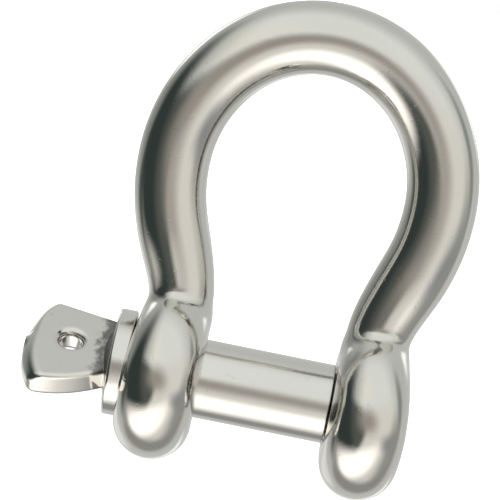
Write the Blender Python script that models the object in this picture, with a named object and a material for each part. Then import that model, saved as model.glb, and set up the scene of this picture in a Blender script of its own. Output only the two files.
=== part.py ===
"""Bow shackle: a one-piece cast bow with two eyes, and a screw pin with a flat tab head.

Frame: the pin's axis is X, and the origin is on it, midway between the eyes. +X points
along the pin away from its head, +Z points from the pin to the crown of the bow, and the
bow lies in the XZ plane.
"""

import math

import bmesh
import bpy
import numpy as np

MM = 0.001

# ---- the pin
PIN_DIAMETER = 8.0 * MM
THREAD_DIAMETER = 7.3 * MM
RELIEF_DIAMETER = 6.3 * MM
RELIEF_LENGTH = 1.2 * MM
THREAD_END_CHAMFER = 0.8 * MM
THREAD_END_SET_BACK = 0.4 * MM
COLLAR_DIAMETER = 10.8 * MM
COLLAR_THICKNESS = 2.0 * MM
COLLAR_RIM = 1.4 * MM
COLLAR_CONE_END_DIAMETER = 6.6 * MM
COLLAR_EDGE = 0.2 * MM

# ---- the tab that turns the pin; its two sides differ, as the rough casting leaves them
TAB_LENGTH = 8.4 * MM
TAB_FAR_SIDE_AT_COLLAR = 4.5 * MM
TAB_FAR_SIDE_AT_END = 6.0 * MM
TAB_NEAR_SIDE_AT_COLLAR = 3.2 * MM
TAB_NEAR_SIDE_AT_END = 5.6 * MM
TAB_NEAR_SIDE_FLARE = 7.0 * MM
TAB_THICKNESS = 2.7 * MM
TAB_ABOVE_AXIS = 0.15 * MM
TAB_END_RADIUS = 9.6 * MM
TAB_END_OFF_CENTRE = 0.6 * MM
TAB_CORNER_RADIUS = 0.8 * MM
TAB_EDGE_RADIUS = 0.5 * MM
TAB_HOLE_DIAMETER = 3.0 * MM
TAB_HOLE_FROM_COLLAR = 3.85 * MM
TAB_HOLE_OFF_CENTRE = 0.35 * MM
TAB_HOLE_RIM = 0.45 * MM
TAB_TURN = math.radians(60.0)

# ---- the eyes
JAW_GAP = 13.3 * MM
EYE_DIAMETER = 17.9 * MM
EYE_THICKNESS = 7.8 * MM
EYE_FLAT_DIAMETER = 10.4 * MM
EYE_OUTER_FACE_RADIUS = 40.0 * MM
EYE_OUTER_FACE_START = -2.0 * MM
SEAT_DEPTH = 0.5 * MM
BORE_CHAMFER = 0.25 * MM
TAPPED_MOUTH = 0.4 * MM

# ---- the bow
INSIDE_LENGTH = 32.4 * MM
INSIDE_WIDTH = 19.7 * MM
WIDEST_HEIGHT = 21.3 * MM
BAR_AT_CROWN = 7.3 * MM
BAR_AT_FLANK = 7.2 * MM
BAR_AT_NECK = 6.5 * MM
BAR_INSIDE_EYE = 4.0 * MM
NECK_SET_IN = 0.5 * MM
NECK_ABOVE_EYE_CENTRE = 0.77
NECK_TAPER_LENGTH = 8.0 * MM
FLANK_HANDLE = 0.47
NECK_HANDLE = 0.31
EYE_FILLET = 1.6 * MM

# ---- fits
PIN_CLEARANCE = 0.3 * MM
THREAD_CLEARANCE = 0.3 * MM
COLLAR_CLEARANCE = 0.3 * MM
RELIEF_CLEARANCE = 0.3 * MM
SEAT_MARGIN = 0.35 * MM

# ---- facets
SECTION_POINTS = 28
EYE_STATIONS = 12
NECK_STATIONS = 11
FLANK_STATIONS = 11
CROWN_STATIONS = 13
ROUND_POINTS = 40
TAB_POINTS = 84

HALF_GAP = JAW_GAP / 2
EYE_CENTRE = HALF_GAP + EYE_THICKNESS / 2
EYE_OUTER = HALF_GAP + EYE_THICKNESS
SEAT_X = EYE_OUTER - SEAT_DEPTH


def clear_objects():
    """Take away whatever the new file starts with."""
    for thing in list(bpy.data.objects):
        bpy.data.objects.remove(thing, do_unlink=True)


def polished_cast_steel():
    """Investment-cast stainless steel with a mirror polish, for the bow."""
    return steel("polished_cast_steel", (0.66, 0.65, 0.62), 0.16)


def turned_steel():
    """Stainless bar turned and polished, for the pin."""
    return steel("turned_steel", (0.68, 0.67, 0.64), 0.20)


def steel(name, colour, roughness):
    """One Principled metal."""
    made = bpy.data.materials.new(name)
    made.use_nodes = True
    shader = made.node_tree.nodes["Principled BSDF"]
    shader.inputs["Base Color"].default_value = (*colour, 1.0)
    shader.inputs["Roughness"].default_value = roughness
    shader.inputs["Metallic"].default_value = 1.0
    return made


def new_object(name, points, faces, material=None):
    """A mesh object from its corners and faces, with its faces turned outward."""
    mesh = bpy.data.meshes.new(name)
    mesh.from_pydata([tuple(p) for p in points], [], [tuple(f) for f in faces])
    work = bmesh.new()
    work.from_mesh(mesh)
    bmesh.ops.recalc_face_normals(work, faces=work.faces)
    work.to_mesh(mesh)
    work.free()
    made = bpy.data.objects.new(name, mesh)
    bpy.context.scene.collection.objects.link(made)
    if material is not None:
        mesh.materials.append(material)
    return made


def cutter(made):
    """Keep a Boolean's second solid out of the pictures."""
    made.hide_render = True
    made.display_type = "WIRE"
    return made


def boolean(target, other, operation):
    """One exact Boolean between two solids."""
    step = target.modifiers.new(other.name, "BOOLEAN")
    step.operation = operation
    step.solver = "EXACT"
    step.object = other
    return step


def lathe(name, profile, material=None):
    """Turn a profile of (x, radius) about X; a radius of zero closes an end."""
    angle = (np.arange(ROUND_POINTS) + 0.37) * 2 * math.pi / ROUND_POINTS
    points = []
    rings = []
    for x, radius in profile:
        if radius == 0:
            rings.append([len(points)])
            points.append((x, 0.0, 0.0))
            continue
        rings.append(list(range(len(points), len(points) + ROUND_POINTS)))
        points.extend((x, radius * math.cos(a), radius * math.sin(a)) for a in angle)
    faces = []
    for low, high in zip(rings[:-1], rings[1:]):
        for i in range(ROUND_POINTS):
            j = (i + 1) % ROUND_POINTS
            if len(low) == 1:
                faces.append((low[0], high[i], high[j]))
            elif len(high) == 1:
                faces.append((low[i], high[0], low[j]))
            else:
                faces.append((low[i], high[i], high[j], low[j]))
    return new_object(name, points, faces, material)


def ease(t):
    """A rise from 0 to 1 with level ends."""
    t = np.clip(t, 0.0, 1.0)
    return t * t * (3.0 - 2.0 * t)


def half_path():
    """The bar's centre from the bottom of one eye to the crown.

    Returns the stations' x, z, radius of the bar, direction, and how far each is into
    the eye (1 at the eye's middle, 0 on the bar). Below the neck the path is the eye's own
    upright line; the flank is one cubic curve, upright at both ends; the crown is a
    quarter of an ellipse.
    """
    neck_x = EYE_CENTRE - NECK_SET_IN
    neck_z = EYE_DIAMETER / 2 * NECK_ABOVE_EYE_CENTRE
    widest_x = INSIDE_WIDTH / 2 + BAR_AT_FLANK / 2
    crown_z = INSIDE_LENGTH + BAR_AT_CROWN / 2
    edge = math.acos(0.98 * EYE_FLAT_DIAMETER / EYE_DIAMETER)
    half_eye = EYE_STATIONS // 2
    low, high = np.linspace(0.06, edge, half_eye), np.linspace(edge, math.pi / 2, half_eye + 1)
    turn = np.concatenate([low, high[1:]])
    z_eye = -EYE_DIAMETER / 2 * np.cos(turn)
    x_eye = np.full_like(z_eye, EYE_CENTRE)
    t = np.linspace(0, 1, NECK_STATIONS + 1)[1:]
    z_neck = neck_z * t
    x_neck = EYE_CENTRE - NECK_SET_IN * ease(t)
    t = np.linspace(0, 1, FLANK_STATIONS + 1)[1:]
    rise = WIDEST_HEIGHT - neck_z
    z_knots = (neck_z, neck_z + NECK_HANDLE * rise, WIDEST_HEIGHT - FLANK_HANDLE * rise, WIDEST_HEIGHT)
    z_flank = cubic(t, z_knots)
    x_flank = cubic(t, (neck_x, neck_x, widest_x, widest_x))
    turn = np.linspace(0, math.pi / 2, CROWN_STATIONS + 1)[1:]
    z_crown = WIDEST_HEIGHT + (crown_z - WIDEST_HEIGHT) * np.sin(turn)
    x_crown = widest_x * np.cos(turn)
    x = np.concatenate([x_eye, x_neck, x_flank, x_crown])
    z = np.concatenate([z_eye, z_neck, z_flank, z_crown])
    dx = np.gradient(x)
    dz = np.gradient(z)
    dx[z <= neck_z] = 0.0
    dx[-1] = -1.0
    dz[-1] = 0.0
    length = np.hypot(dx, dz)
    radius = BAR_AT_NECK + (BAR_AT_FLANK - BAR_AT_NECK) * ease((z - neck_z) / NECK_TAPER_LENGTH)
    radius += (BAR_AT_CROWN - BAR_AT_FLANK) * ease((z - WIDEST_HEIGHT) / (crown_z - WIDEST_HEIGHT))
    radius += (BAR_INSIDE_EYE - BAR_AT_NECK) * ease((neck_z - z) / neck_z)
    into_eye = 1.0 - ease((z - 0.6 * neck_z) / (0.7 * neck_z))
    return x, z, radius / 2, dx / length, dz / length, into_eye


def cubic(t, knots):
    """A cubic curve's value from its four knots."""
    a, b, c, d = knots
    u = 1.0 - t
    return a * u**3 + 3 * b * u * u * t + 3 * c * u * t * t + d * t**3


def eye_field(x, y, z):
    """Signed size of the eye: negative inside, zero on its surface.

    The eye is a disc about the pin's axis with flat faces and a full rim. Its outer face
    turns inward above the axis, to run into the bar.
    """
    half = EYE_THICKNESS / 2
    flat = EYE_FLAT_DIAMETER / 2
    across = x - EYE_CENTRE
    above = np.maximum(z - EYE_OUTER_FACE_START, 0.0)
    thinner = half / (half - above**2 / (2 * EYE_OUTER_FACE_RADIUS))
    across = np.where(across > 0, across * thinner, across)
    beyond = np.maximum(np.hypot(y, z) - flat, 0.0) * half / (EYE_DIAMETER / 2 - flat)
    return np.hypot(beyond, across) - half


def blend(a, b, size):
    """Join two fields with a fillet: the nearer one, eased where they are alike."""
    near = np.maximum(size - np.abs(a - b), 0.0) / size
    return np.minimum(a, b) - near * near * size / 4


def bow_sections():
    """Half the bow as rings of points: the filleted sum of bar and eye round the path.

    Each ring lies in the plane square to the path. Along each spoke of the ring the
    joined field is halved down to its zero.
    """
    x, z, radius, dir_x, dir_z, into_eye = half_path()
    spoke = np.arange(SECTION_POINTS) * 2 * math.pi / SECTION_POINTS
    wide = 1.0 + 0.9 * into_eye[:, None]
    side = np.cos(spoke)[None, :] + 0.0 * wide
    depth = np.sin(spoke)[None, :] * wide
    size = np.hypot(side, depth)
    side, depth = side / size, depth / size
    low = np.zeros_like(side)
    high = np.full_like(side, EYE_DIAMETER)
    for _ in range(48):
        middle = (low + high) / 2
        px = x[:, None] + dir_z[:, None] * side * middle
        pz = z[:, None] - dir_x[:, None] * side * middle
        py = depth * middle
        bar = middle - radius[:, None]
        bar = np.where(z[:, None] < 0.0, EYE_DIAMETER, bar)
        inside = blend(bar, eye_field(px, py, pz), EYE_FILLET) < 0
        low = np.where(inside, middle, low)
        high = np.where(inside, high, middle)
    reach = (low + high) / 2
    return np.stack(
        [
            x[:, None] + dir_z[:, None] * side * reach,
            depth * reach,
            z[:, None] - dir_x[:, None] * side * reach,
        ],
        axis=2,
    )


def make_bow(material):
    """The bow and its two eyes as one casting, bored for the pin."""
    half = bow_sections()
    mirrored = half[:-1][::-1] * np.array([-1.0, 1.0, 1.0])
    rings = np.concatenate([half, mirrored])
    points = rings.reshape(-1, 3).tolist()
    count = len(rings)
    faces = []
    for i in range(count - 1):
        for j in range(SECTION_POINTS):
            k = (j + 1) % SECTION_POINTS
            faces.append(
                (
                    i * SECTION_POINTS + j,
                    (i + 1) * SECTION_POINTS + j,
                    (i + 1) * SECTION_POINTS + k,
                    i * SECTION_POINTS + k,
                )
            )
    for i, sign in ((0, 1), (count - 1, -1)):
        tip = len(points)
        points.append((sign * EYE_CENTRE, 0.0, -EYE_DIAMETER / 2))
        for j in range(SECTION_POINTS):
            k = (j + 1) % SECTION_POINTS
            faces.append((tip, i * SECTION_POINTS + j, i * SECTION_POINTS + k))
    bow = new_object("bow", points, faces, material)
    past = 2.0 * MM
    plain = PIN_DIAMETER / 2 + PIN_CLEARANCE
    tapped = THREAD_DIAMETER / 2 + THREAD_CLEARANCE
    seat = COLLAR_DIAMETER / 2 + SEAT_MARGIN
    plain_bore = (
        (-EYE_OUTER - past, 0.0),
        (-EYE_OUTER - past, seat),
        (-SEAT_X, seat),
        (-SEAT_X, plain),
        (-HALF_GAP - BORE_CHAMFER, plain),
        (-HALF_GAP + past, plain + BORE_CHAMFER + past),
        (-HALF_GAP + past, 0.0),
    )
    tapped_bore = (
        (HALF_GAP - past, 0.0),
        (HALF_GAP - past, tapped + TAPPED_MOUTH + past),
        (HALF_GAP + TAPPED_MOUTH, tapped),
        (EYE_OUTER - TAPPED_MOUTH, tapped),
        (EYE_OUTER + past, tapped + TAPPED_MOUTH + past),
        (EYE_OUTER + past, 0.0),
    )
    boolean(bow, cutter(lathe("plain_bore_cut", plain_bore)), "DIFFERENCE")
    boolean(bow, cutter(lathe("tapped_bore_cut", tapped_bore)), "DIFFERENCE")
    smooth(bow)
    return bow


def tab_outline_field(beyond, across):
    """Negative inside the tab's outline, by distance from the collar and across the tab.

    The far side flares straight, the near side flares in a curve from a waist at the
    collar, and the end is an arc. The corners between them are rounded.
    """
    far = TAB_FAR_SIDE_AT_COLLAR
    far = far + (TAB_FAR_SIDE_AT_END - far) * beyond / TAB_LENGTH
    left = 1.0 - np.clip(beyond / TAB_NEAR_SIDE_FLARE, 0.0, 1.0)
    near = TAB_NEAR_SIDE_AT_END - (TAB_NEAR_SIDE_AT_END - TAB_NEAR_SIDE_AT_COLLAR) * left * left
    side = np.where(across > 0.0, across - far, -across - near)
    end = np.hypot(beyond - (TAB_LENGTH - TAB_END_RADIUS), across + TAB_END_OFF_CENTRE)
    side = side + TAB_CORNER_RADIUS
    end = end - TAB_END_RADIUS + TAB_CORNER_RADIUS
    outside = np.hypot(np.maximum(side, 0.0), np.maximum(end, 0.0))
    sides = np.minimum(np.maximum(side, end), 0.0) + outside - TAB_CORNER_RADIUS
    return np.maximum(sides, -beyond - 0.6 * COLLAR_THICKNESS)


def tab_outline(inset):
    """The outline drawn in by an inset, found along spokes from the tab's middle."""
    turn = (np.arange(TAB_POINTS) + 0.5) * (2 * math.pi / TAB_POINTS)
    middle = TAB_LENGTH / 2
    low = np.zeros(TAB_POINTS)
    high = np.full(TAB_POINTS, 1.5 * TAB_LENGTH)
    for _ in range(48):
        reach = (low + high) / 2
        level = tab_outline_field(middle + reach * np.cos(turn), reach * np.sin(turn))
        low = np.where(level < -inset, reach, low)
        high = np.where(level < -inset, high, reach)
    return middle + low * np.cos(turn), low * np.sin(turn)


def make_tab():
    """The flared tab, its long edges rounded, reaching into the collar to be fused."""
    face_x = -SEAT_X - COLLAR_CLEARANCE - COLLAR_THICKNESS
    levels = rounded_levels(TAB_THICKNESS / 2, TAB_EDGE_RADIUS)
    points = []
    for height, inset in levels:
        beyond, across = tab_outline(inset)
        points.extend((face_x - d, w, height + TAB_ABOVE_AXIS) for d, w in zip(beyond, across))
    n = TAB_POINTS
    faces = []
    for i in range(len(levels) - 1):
        for j in range(n):
            k = (j + 1) % n
            faces.append((i * n + j, (i + 1) * n + j, (i + 1) * n + k, i * n + k))
    faces.append(tuple(range(n)))
    faces.append(tuple(range((len(levels) - 1) * n, len(levels) * n)))
    return new_object("tab", points, faces)


def rounded_levels(half, radius):
    """Heights and insets of a slab's edge rounded by quarter circles."""
    turn = np.linspace(0, math.pi / 2, 4)
    upper = [(half - radius + radius * math.sin(a), radius - radius * math.cos(a)) for a in turn]
    lower = [(-height, inset) for height, inset in reversed(upper)]
    return lower + upper


def make_pin(material):
    """The screw pin: tab, collar, plain shank, relief and threaded end, in one piece."""
    seat = -SEAT_X - COLLAR_CLEARANCE
    face = seat - COLLAR_THICKNESS
    shank = PIN_DIAMETER / 2
    thread = THREAD_DIAMETER / 2
    relief = RELIEF_DIAMETER / 2
    collar = COLLAR_DIAMETER / 2
    cone = COLLAR_CONE_END_DIAMETER / 2
    shank_end = HALF_GAP - RELIEF_CLEARANCE
    tip = EYE_OUTER - THREAD_END_SET_BACK
    profile = (
        (face, 0.0),
        (face, cone),
        (seat - COLLAR_RIM, collar),
        (seat - COLLAR_EDGE, collar),
        (seat, collar - COLLAR_EDGE),
        (seat, shank),
        (shank_end - COLLAR_EDGE, shank),
        (shank_end, shank - COLLAR_EDGE),
        (shank_end, relief),
        (shank_end + RELIEF_LENGTH, relief),
        (shank_end + RELIEF_LENGTH + (thread - relief), thread),
        (tip - THREAD_END_CHAMFER, thread),
        (tip, thread - THREAD_END_CHAMFER),
        (tip, 0.0),
    )
    pin = lathe("screw_pin", profile, material)
    boolean(pin, cutter(make_tab()), "UNION")
    boolean(pin, cutter(tab_hole(face)), "DIFFERENCE")
    # the object's own origin stands at the collar's seat, on the pin's axis
    for vertex in pin.data.vertices:
        vertex.co.x -= seat
    for other in (bpy.data.objects["tab"], bpy.data.objects["tab_hole"]):
        other.parent = pin
        other.location.x = -seat
    pin.location.x = seat
    pin.rotation_euler.x = math.pi / 2 - TAB_TURN
    smooth(pin)
    return pin


def tab_hole(face):
    """The hole through the tab, opened at both ends by a rounded rim."""
    radius = TAB_HOLE_DIAMETER / 2
    half = TAB_THICKNESS / 2
    past = 1.0 * MM
    turn = np.linspace(0, math.pi / 2, 4)
    rim = [
        (half - TAB_HOLE_RIM + TAB_HOLE_RIM * math.sin(a), radius + TAB_HOLE_RIM * (1 - math.cos(a)))
        for a in turn
    ]
    upper = rim + [(half + past, radius + TAB_HOLE_RIM)]
    profile = [(-h, r) for h, r in reversed(upper)] + upper
    tool = lathe("tab_hole", [(-half - past, 0.0)] + profile + [(half + past, 0.0)])
    for vertex in tool.data.vertices:
        x, y, z = vertex.co
        across = z + TAB_HOLE_OFF_CENTRE
        vertex.co = (face - TAB_HOLE_FROM_COLLAR + y, across, x + TAB_ABOVE_AXIS)
    return tool


def smooth(made):
    """Smooth shading for a round piece."""
    for face in made.data.polygons:
        face.use_smooth = True


def main():
    clear_objects()
    make_bow(polished_cast_steel())
    make_pin(turned_steel())


main()
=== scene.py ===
"""A bow shackle of polished cast stainless steel, with its screw pin, on a pale floor.

X runs along the pin, away from its tab, and Z from the pin to the crown of the bow.
"""

import math

import bpy
import numpy as np
from bpy.props import (
    FloatProperty,
    FloatVectorProperty,
    IntProperty,
    PointerProperty,
)
from mathutils import Matrix, Vector


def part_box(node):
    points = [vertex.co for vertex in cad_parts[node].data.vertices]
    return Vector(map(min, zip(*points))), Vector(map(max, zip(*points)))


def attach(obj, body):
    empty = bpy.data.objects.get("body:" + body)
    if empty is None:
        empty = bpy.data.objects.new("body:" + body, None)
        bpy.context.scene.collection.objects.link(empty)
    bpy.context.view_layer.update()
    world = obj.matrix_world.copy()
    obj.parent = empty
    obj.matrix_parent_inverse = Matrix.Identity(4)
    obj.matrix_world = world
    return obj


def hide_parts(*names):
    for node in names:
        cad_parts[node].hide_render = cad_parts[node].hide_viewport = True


bl_info = {
    "name": "Bow shackle",
    "version": (1, 0, 0),
    "blender": (4, 5, 0),
    "location": "View3D > Sidebar > Shackle",
    "description": "Builds a cast bow shackle and its screw pin",
    "category": "Add Mesh",
}

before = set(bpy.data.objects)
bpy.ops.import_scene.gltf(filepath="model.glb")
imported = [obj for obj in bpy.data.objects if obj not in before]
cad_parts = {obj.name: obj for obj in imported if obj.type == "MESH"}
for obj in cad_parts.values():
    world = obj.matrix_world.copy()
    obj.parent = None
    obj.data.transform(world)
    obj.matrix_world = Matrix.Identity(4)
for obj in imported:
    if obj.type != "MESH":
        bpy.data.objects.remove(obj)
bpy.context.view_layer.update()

MM = 0.001

# small lengths that aren't settings
BAR_INSIDE_EYE = 4.0 * MM
SEAT_MARGIN = 0.35 * MM
SEAT_GAP = 0.06 * MM
SHANK_END_GAP = 0.1 * MM
BORE_RIM = 0.3 * MM
TAPPED_MOUTH = 0.12 * MM
SLEEVE_START = 0.25 * MM
SLEEVE_END = 0.45 * MM
SLEEVE_LEAD = 0.7 * MM
SLEEVE_WALL = 0.35 * MM
THREAD_CLEARANCE = 0.12 * MM
THREAD_SET_BACK = 0.4 * MM
THREAD_LEAD = 0.8 * MM
THREAD_CHAMFER = 0.9 * MM
COLLAR_ROUND = 0.3 * MM
COLLAR_EDGE = 0.18 * MM
CONE_END_RADIUS = 3.4 * MM
CORE_RADIUS = 0.6 * MM
CORE_LENGTH = 0.9 * MM
LEAN_ENDS_AT = 4.8 * MM
LEAN_FADE = 5.0 * MM
TURN_EVEN_BY = 0.85 * MM
TURN_EVEN_OVER = 0.75 * MM
FARTHEST = 9 * MM
SHANK_FOOT = 0.25 * MM
RELIEF_ROUND = 0.3 * MM
SHANK_NOSE = 0.14 * MM
BUMP_DEPTH = 0.004 * MM


# ---------------------------------------------------------------- sizes and colours


def length(name, description, millimetres, low=0.0, high=100.0):
    """A size in metres whose default is given in millimetres."""
    return FloatProperty(
        name=name,
        description=description,
        default=millimetres * MM,
        min=low * MM,
        max=high * MM,
        precision=5,
        subtype="DISTANCE",
        unit="LENGTH",
    )


def colour(name, description, value):
    """A linear colour."""
    return FloatVectorProperty(
        name=name,
        description=description,
        default=value,
        min=0.0,
        max=1.0,
        size=3,
        subtype="COLOR",
    )


def share(name, description, value, high=1.0):
    """A plain number from nought."""
    return FloatProperty(name=name, description=description, default=value, min=0.0, max=high)


def angle(name, description, degrees):
    """An angle in radians whose default is given in degrees."""
    return FloatProperty(
        name=name,
        description=description,
        default=math.radians(degrees),
        subtype="ANGLE",
        unit="ROTATION",
    )


class BowSettings(bpy.types.PropertyGroup):
    """Sizes and finish of the bow and its eyes."""

    inside_length: length("Inside length", "From the pin's axis to the inside of the crown", 32.4)
    inside_width: length("Inside width", "Between the flanks at their widest", 19.7)
    widest_height: length("Widest height", "Height of the widest place above the pin's axis", 21.3)
    bar_crown: length("Bar at crown", "Diameter of the bar at the crown", 7.3)
    bar_flank: length("Bar at flank", "Diameter of the bar at the widest place", 7.2)
    bar_neck: length("Bar at neck", "Diameter of the bar where it meets the eye", 6.5)
    neck_taper: length("Neck taper", "Height over which the neck grows to the flank", 8.0)
    neck_set_in: length("Neck set in", "How far the neck stands inside the eye's middle", 0.5)
    neck_height: share("Neck height", "Height of the neck as a share of the eye's radius", 0.77)
    neck_handle: share("Neck handle", "How straight the arm leaves the neck", 0.31)
    flank_handle: share("Flank handle", "How straight the arm reaches the flank", 0.47)
    jaw_gap: length("Jaw gap", "Between the inner faces of the eyes", 13.3)
    eye_diameter: length("Eye diameter", "Across the eye", 17.9)
    eye_thickness: length("Eye thickness", "Along the pin", 7.8)
    eye_flat: length("Eye flat", "Diameter of the flat of the inner face", 10.4)
    outer_face_radius: length("Outer face radius", "Curve of the outer face toward the bar", 40.0)
    outer_face_start: length("Outer face start", "Depth below the axis where that curve starts", 2.0)
    eye_fillet: length("Eye fillet", "Size of the fillet between bar and eye", 0.9)
    seat_depth: length("Seat depth", "Depth of the collar's seat in the plain eye", 0.5)
    plain_bore: length("Plain bore", "Diameter of the hole of the plain eye", 8.6)
    tapped_bore: length("Tapped bore", "Diameter at the root of the tapped hole's thread", 8.3)
    waviness: length("Waviness", "Depth of the casting's soft unevenness", 0.02)
    steel: colour("Steel", "Colour of the cast steel", (0.66, 0.648, 0.612))
    roughness: share("Roughness", "Roughness of the polish", 0.065)


class PinSettings(bpy.types.PropertyGroup):
    """Sizes and finish of the screw pin."""

    diameter: length("Pin diameter", "Diameter of the plain shank", 8.0)
    thread_pitch: length("Thread pitch", "Advance of the thread for one turn", 1.25)
    thread_root: length("Thread root", "Diameter at the bottom of the thread", 6.6)
    thread_crest: length("Thread crest", "Diameter over the thread", 7.9)
    relief_diameter: length("Relief diameter", "Diameter of the groove before the thread", 6.3)
    relief_length: length("Relief length", "Length of that groove", 1.2)
    collar_diameter: length("Collar diameter", "Diameter of the collar", 10.8)
    collar_thickness: length("Collar thickness", "From its seat to the tab", 2.0)
    collar_rim: length("Collar rim", "Width of the collar's straight rim", 1.45)
    tab_length: length("Tab length", "From the collar to the end of the tab", 8.64)
    tab_far_collar: length("Far side at collar", "Half width of the far side at the collar", 4.5)
    tab_far_end: length("Far side at end", "Half width of the far side at the end", 6.0)
    tab_near_collar: length("Near side at collar", "Half width of the near side's waist", 3.2)
    tab_near_end: length("Near side at end", "Half width of the near side at the end", 5.75)
    tab_near_flare: length("Near side flare", "Length over which the near side flares", 7.0)
    tab_thickness: length("Tab thickness", "Thickness of the tab", 2.7)
    tab_above_axis: length("Tab above axis", "How far the tab stands above the pin's axis", 0.15)
    tab_end_radius: length("Tab end radius", "Radius of the tab's rounded end", 9.6)
    tab_end_shift: length("Tab end shift", "How far that arc's middle is to the near side", 0.6)
    tab_corner: length("Tab corner", "Radius of the tab's corners", 0.6)
    tab_edge: length("Tab edge", "Radius along the tab's edges", 0.5)
    tab_end_edge: length("Tab end edge", "How far the end's upper edge is rounded back", 0.9)
    tab_fillet: length("Tab fillet", "Fillet between tab and collar", 0.9)
    tab_hole: length("Tab hole", "Diameter of the hole in the tab", 2.3)
    tab_hole_place: length("Tab hole place", "From the collar to the hole's middle", 4.09)
    tab_hole_shift: length("Tab hole shift", "How far the hole is to the far side", 0.35)
    tab_hole_rim: length("Tab hole rim", "Radius of the hole's rounded rim", 0.7)
    tab_turn: angle("Tab turn", "How far the tab's face is turned up from facing forward", 60.0)
    steel: colour("Steel", "Colour of the turned steel", (0.68, 0.668, 0.635))
    roughness: share("Roughness", "Roughness of the turned shank", 0.10)


class StageSettings(bpy.types.PropertyGroup):
    """The floor, the light and the camera."""

    floor_size: length("Floor size", "Width of the floor", 3000.0, high=10000.0)
    floor_colour: colour("Floor colour", "Colour of the floor", (0.86, 0.86, 0.855))
    camera_distance: length("Camera distance", "From the camera to the shackle", 220.18, high=2000)
    camera_lens: FloatProperty(
        name="Lens", description="Focal length in millimetres", default=158.81, min=10.0, max=500.0
    )
    camera_target: FloatVectorProperty(
        name="Camera target",
        description="The point that the camera looks at",
        default=(-4.27 * MM, 0.0, 13.85 * MM),
        precision=5,
        subtype="TRANSLATION",
        unit="LENGTH",
    )
    camera_azimuth: angle("Camera azimuth", "Turn of the camera toward +X", -0.09)
    camera_elevation: angle("Camera elevation", "Height of the camera", 9.14)
    camera_roll: angle("Camera roll", "Roll of the camera about its view", 11.44)


class DetailSettings(bpy.types.PropertyGroup):
    """How finely the surfaces are cut."""

    bow_spokes: IntProperty(name="Bow spokes", description="Points round the bar", default=112)
    pin_spokes: IntProperty(name="Pin spokes", description="Points round the pin", default=200)


# ---------------------------------------------------------------- surfaces


def ease(t):
    """A rise from 0 to 1 with level ends: 3t^2 - 2t^3, held flat outside."""
    t = np.clip(t, 0.0, 1.0)
    return t * t * (3.0 - 2.0 * t)


def fillet_union(a, b, size):
    """The smaller of two fields, less (size - |a - b|)^2 / 4 size where they are alike."""
    near = np.maximum(size - np.abs(a - b), 0.0)
    return np.minimum(a, b) - near * near / (4.0 * size)


def halve_to_zero(field, far, steps=34):
    """Reach along every spoke at which a field turns positive, found by halving."""
    low = np.zeros_like(far)
    high = far.copy()
    for _ in range(steps):
        middle = (low + high) / 2
        inside = field(middle) < 0
        low = np.where(inside, middle, low)
        high = np.where(inside, high, middle)
    return (low + high) / 2


def spokes(count, stretch):
    """Unit spokes round a ring, as (across, aside): angle t gives (cos t, stretch sin t),
    scaled to length one. stretch has one value a ring."""
    turn = np.arange(count) * (2 * math.pi / count)
    across = np.cos(turn)[None, :] + 0.0 * stretch[:, None]
    aside = np.sin(turn)[None, :] * stretch[:, None]
    size = np.hypot(across, aside)
    return across / size, aside / size


def ring_mesh(name, rings, tips=()):
    """A mesh from rings of points (rings, points, 3), each joined to the next.

    With two tips the ends are closed by fans; without, the last ring joins the first.
    """
    count, around = rings.shape[:2]
    last = count - 1 if len(tips) else count
    row = np.arange(last)[:, None]
    col = np.arange(around)[None, :]
    after = (row + 1) % count
    beside = (col + 1) % around
    quads = np.stack(
        [
            row * around + col,
            after * around + col + 0 * row,
            after * around + beside,
            row * around + beside,
        ],
        axis=2,
    ).reshape(-1, 4)
    points = rings.reshape(-1, 3)
    faces = quads.tolist()
    if len(tips):
        points = np.concatenate([points, np.array(tips, float)])
        first = count * around
        side = np.arange(around)
        beside = (side + 1) % around
        final = (count - 1) * around
        start = np.stack([np.full(around, first), side, beside], axis=1)
        end = np.stack([np.full(around, first + 1), final + beside, final + side], axis=1)
        faces += start.tolist() + end.tolist()
    mesh = bpy.data.meshes.new(name)
    mesh.from_pydata(points.tolist(), [], faces)
    mesh.update()
    if signed_volume(mesh) < 0:
        mesh.flip_normals()
    made = bpy.data.objects.new(name, mesh)
    bpy.context.scene.collection.objects.link(made)
    return made


def signed_volume(mesh):
    """Six times the volume inside a closed mesh, negative if it is inside out."""
    mesh.calc_loop_triangles()
    corner = np.empty(len(mesh.loop_triangles) * 3, np.int32)
    mesh.loop_triangles.foreach_get("vertices", corner)
    place = np.empty(len(mesh.vertices) * 3)
    mesh.vertices.foreach_get("co", place)
    a, b, c = np.moveaxis(place.reshape(-1, 3)[corner.reshape(-1, 3)], 1, 0)
    return float((a * np.cross(b, c)).sum())


def round_rings(x, radius, turn):
    """Rings about X: each point at (x, radius cos turn, radius sin turn), with the radius
    given for every ring and turn."""
    along = x[:, None] + 0.0 * turn[None, :]
    return np.stack([along, radius * np.cos(turn), radius * np.sin(turn)], axis=2)


def turned(name, profile, around=128, phase=0.37):
    """A solid turned about X from a profile of (x, radius), its ends on the axis."""
    x, radius = np.array(profile[1:-1], float).T
    turn = (np.arange(around) + phase) * (2 * math.pi / around)
    rings = round_rings(x, radius[:, None], turn)
    tips = [(profile[0][0], 0.0, 0.0), (profile[-1][0], 0.0, 0.0)]
    return ring_mesh(name, rings, tips)


def corner_arc(x, radius, size, start, end, count=6):
    """Points of a quarter circle about (x, radius), for a turned profile, angles in degrees."""
    turn = np.radians(np.linspace(start, end, count))
    return [(x + size * math.cos(t), radius + size * math.sin(t)) for t in turn]


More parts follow.
